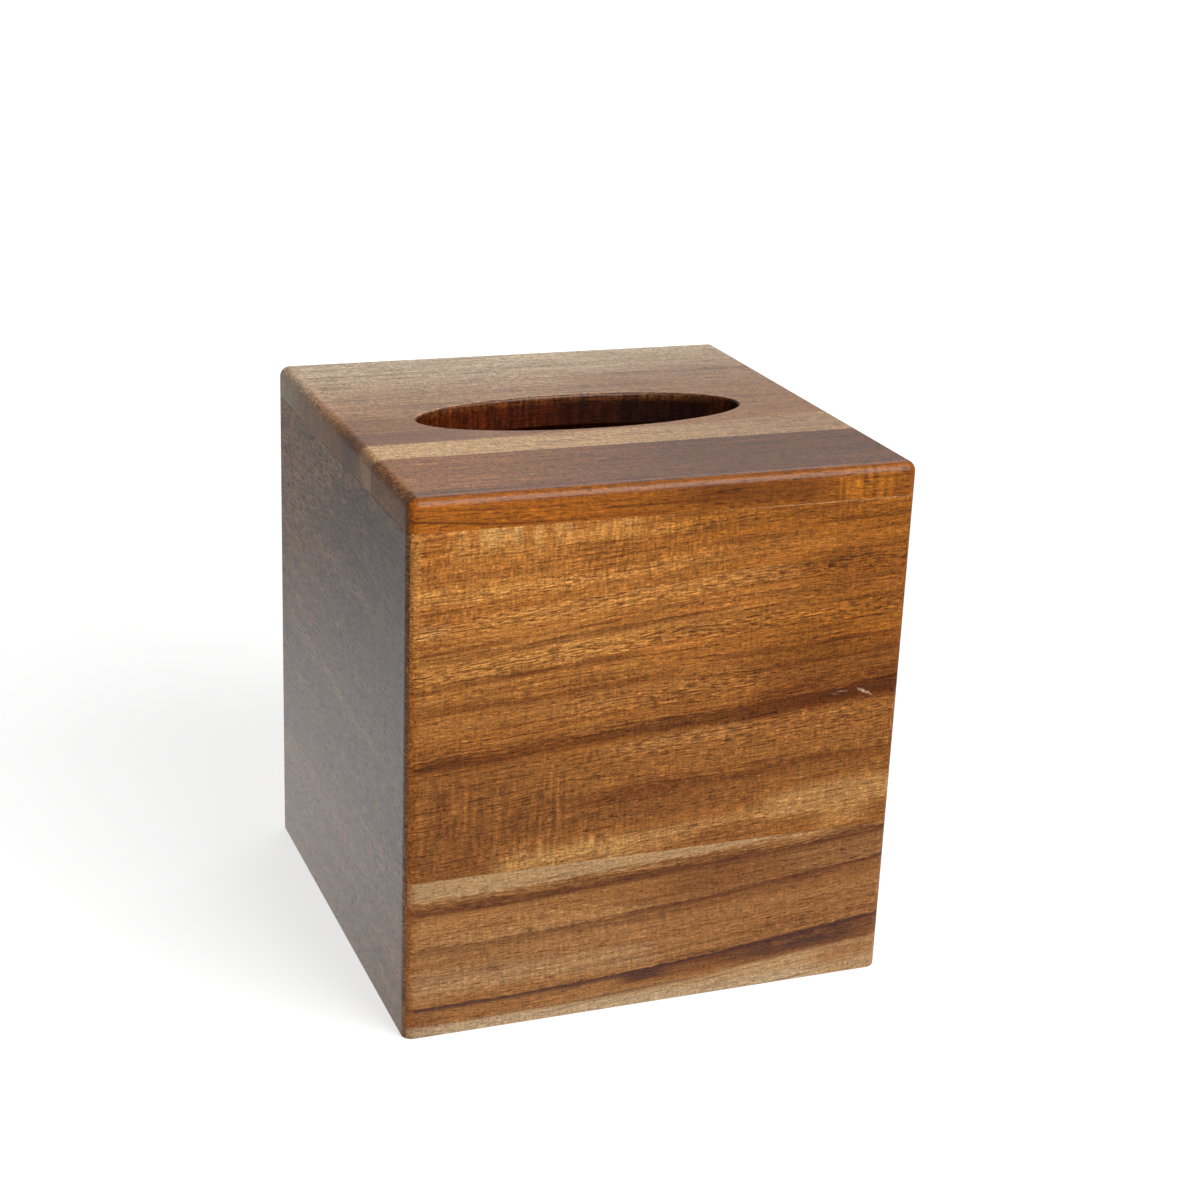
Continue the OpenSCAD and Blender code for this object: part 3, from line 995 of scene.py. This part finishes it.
for side, seed, upper_flow, lower_flow, curl_at in UNSEEN:
    wood = Board(f"{side}_upper_wood", side, seed=seed, flow=upper_flow)
    wood.ground(AMBER, GOLD, HONEY)
    wood.paint(wood.above(96, soft=6) * 0.5, CINNAMON)
    wood.paint(wood.below(81, soft=4) * 0.8, CLAY)
    wood.paint(wood.streak((79, 82, 82), (89, 87, 86), below=2, above=4) * 0.45, CHESTNUT)
    wood.paint(wood.streak((80, 82.5, 82.5), (85, 85.5, 85), below=1.2, above=2.2) * 0.6, UMBER)
    for height, start, end in ((99.7, -75, 5), (111.4, -20, 75), (127, -60, 30), (63, -75, 75)):
        wood.paint(wood.thread(height, start, end, above=0.9) * 0.55, CHESTNUT)
    wood.paint(wood.patch(-75, -30, 48, 57, soft=6) * 0.7, STRAW)
    wood.curl(wood.patch(curl_at - 22, curl_at + 22, 48, 76, level=True), 2.6, 14, 0.26)
    wood.curl(wood.patch(-curl_at - 25, -curl_at + 25, 112, 143, level=True), 1.4, 8, 0.18)
    wood.open_pores(wood.streak(118, 122.2, below=0.8, above=0.8) * 0.8)
    wood.open_pores(wood.streak(105.5, 109, below=0.8, above=0.8) * 0.9)
    wood.glue_line(GLUE_Z / MM, reach=0.35)
    materials[f"{side}_upper"] = wood.finish(texture=1.15)

    wood = Board(f"{side}_lower_wood", side, seed=seed + 1, flow=lower_flow, wander=0.5)
    wood.ground(TAN, FAWN, CREAM, contrast=0.7)
    wood.paint(wood.streak(26, 41, below=3, above=2) * 0.6, RUSSET)
    wood.paint(wood.streak(38.5, 39.5, below=0.6, above=1.4) * 0.75, DUSK)
    wood.paint(wood.streak(28.6, 29.2, below=0.4, above=0.5) * 0.7, DUSK)
    wood.paint(wood.streak(18.5, 19, below=0.5, above=0.8) * 0.4, RUSSET)
    wood.paint(wood.streak((5.5, 7.5, 8), (12, 10.5, 10), below=1.2, above=0.9) * 0.75, DUSK)
    wood.paint(wood.patch(-75, -25, 6.5, 10.5, soft=6) * 0.7, PLUM)
    wood.paint(wood.below(5.2, soft=0.5), CREAM)
    wood.paint(soft_step(wood.v, 0.8, 0.3) * 0.6, PARCHMENT)
    wood.glue_line(GLUE_Z / MM, reach=-0.25)
    materials[f"{side}_lower"] = wood.finish(texture=0.95)

# %% [markdown]
# ## Bare wood for the splines
# The splines sit in the mitres where nobody sees them. They keep their own solid from the frame
# and get the same wood kit in pale colours.

# %% Splines, and all materials on their boards
def dress(piece, material):
    piece.data.materials.clear()
    piece.data.materials.append(material)


wood = Board("spline_wood", "top", seed=20)
wood.ground(TAN, STRAW, CREAM)
spline_wood = wood.finish()
for node_name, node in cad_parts.items():
    if node_name.endswith("spline"):
        dress(node, spline_wood)

for name, piece in boards.items():
    dress(piece, materials[name])
print(len(boards), "boards dressed")

# %% [markdown]
# ## The studio
# The photograph shows the cover cut out on white, lit softly from the front and the right. Here
# the floor is pale paper, and to the camera it also glows: least beside the cover, so that the
# shadow stays, and fully farther off, where it has to melt into the white backdrop. A lacquer
# mirrors a darker room than the camera sees, so mirror rays get their own levels, brightest
# behind the cover, whose far side is what the top and the left wall reflect.

# %% Floor
PAPER, PAPER_SEEN = 0.6, 0.45
GLOW_NEAR, GLOW_FAR = 0.72, 1.0
GLOW_FROM, GLOW_TO = 0.3, 0.9
SHADOW_AT = (-0.08, 0.08, 0.0)
POOL_LEVEL, POOL_REACH = 0.62, 0.42
BEHIND_LEVEL, BEFORE_LEVEL = 0.32, 0.1
BEHIND_FROM, BEHIND_TO = -0.18, 0.1
FLOOR_SIZE = 6

bpy.ops.object.select_all(action="DESELECT")
bpy.ops.mesh.primitive_plane_add(size=FLOOR_SIZE, location=(0, 0, 0))
floor = bpy.context.object
floor.name = "floor"


def glowing_paper():
    material = bpy.data.materials.new("floor_paper")
    material.use_nodes = True
    tree = material.node_tree
    tree.nodes.clear()
    camera_ray = add_node(tree, "ShaderNodeLightPath", output="Is Camera Ray")
    glossy_ray = add_node(tree, "ShaderNodeLightPath", output="Is Glossy Ray")
    place = add_node(tree, "ShaderNodeTexCoord", output="Object")
    reach = add_node(tree, "ShaderNodeVectorMath", place, SHADOW_AT, output="Value",
                     settings={"operation": "DISTANCE"})
    depth = add_node(tree, "ShaderNodeSeparateXYZ", place, output="Y")
    glow = soft_step(reach, GLOW_FROM, GLOW_TO) * (GLOW_FAR - GLOW_NEAR) + GLOW_NEAR
    pool = soft_step(reach, POOL_REACH, 0.0) * POOL_LEVEL
    behind = soft_step(depth, BEHIND_FROM, BEHIND_TO) * (BEHIND_LEVEL - BEFORE_LEVEL) + BEFORE_LEVEL
    paper = add_node(tree, "ShaderNodeBsdfDiffuse", Color=camera_ray * (PAPER_SEEN - PAPER) + PAPER)
    seen = add_node(tree, "ShaderNodeEmission", Strength=camera_ray * glow)
    mirrored = add_node(tree, "ShaderNodeEmission", Strength=pool + behind)
    lit = add_node(tree, "ShaderNodeAddShader", paper, seen)
    surface = add_node(tree, "ShaderNodeMixShader", glossy_ray, lit, mirrored)
    plug(surface, tree.nodes.new("ShaderNodeOutputMaterial").inputs["Surface"])
    return material


floor.data.materials.append(glowing_paper())
print("floor glows from", GLOW_NEAR, "to", GLOW_FAR)

# %% [markdown]
# The backdrop is the world's own colour: white to the camera, dim to the wood, and to mirror rays
# brighter behind the cover than before it. The view transform is Standard, so a colour is seen
# about as it was written.

# %% Backdrop
AMBIENT, MIRRORED, DIM_MIRRORED = 0.2, 0.27, 0.07
DIM_FROM, DIM_TO = -0.2, 0.5

scene = bpy.context.scene
scene.view_settings.view_transform = "Standard"
world = bpy.data.worlds.new("studio")
scene.world = world
world.use_nodes = True
sky = world.node_tree
camera_ray = add_node(sky, "ShaderNodeLightPath", output="Is Camera Ray")
glossy_ray = add_node(sky, "ShaderNodeLightPath", output="Is Glossy Ray")
way = add_node(sky, "ShaderNodeTexCoord", output="Generated")
backward = add_node(sky, "ShaderNodeSeparateXYZ", way, output="Y")
mirror_rise = soft_step(backward, DIM_FROM, DIM_TO) * (MIRRORED - DIM_MIRRORED)
mirror_level = mirror_rise + (DIM_MIRRORED - AMBIENT)
level = camera_ray * (1 - AMBIENT) + glossy_ray * mirror_level + AMBIENT
sky.nodes["Background"].inputs["Color"].default_value = WHITE
plug(level, sky.nodes["Background"].inputs["Strength"])
print("backdrop 1.0 to the camera,", AMBIENT, "to the wood")

# %% [markdown]
# One large soft box is the key, high and to the right of the front. A weaker one behind the cover
# keeps the unseen sides from going flat.

# %% Lamps
LAMP_DISTANCE, LAMP_SIZE = 1.4, 0.9


def soft_box(name, azimuth, elevation, watts):
    """A square lamp facing the middle of the cover. Azimuth turns from the front to the right."""
    turn, lift = math.radians(azimuth), math.radians(elevation)
    level_way = Vector((math.sin(turn), -math.cos(turn), 0))
    way = level_way * math.cos(lift) + Vector((0, 0, math.sin(lift)))
    lamp = bpy.data.lights.new(name, "AREA")
    lamp.shape = "SQUARE"
    lamp.size, lamp.energy = LAMP_SIZE, watts
    stand = bpy.data.objects.new(name, lamp)
    scene.collection.objects.link(stand)
    stand.location = Vector((0, 0, HEIGHT / 2)) + way * LAMP_DISTANCE
    stand.rotation_euler = (-way).to_track_quat("-Z", "Y").to_euler()
    print(f"{name}: {watts} W at {tuple(round(c, 2) for c in stand.location)}")


soft_box("key_light", azimuth=25, elevation=40, watts=19)
soft_box("back_light", azimuth=150, elevation=45, watts=5)
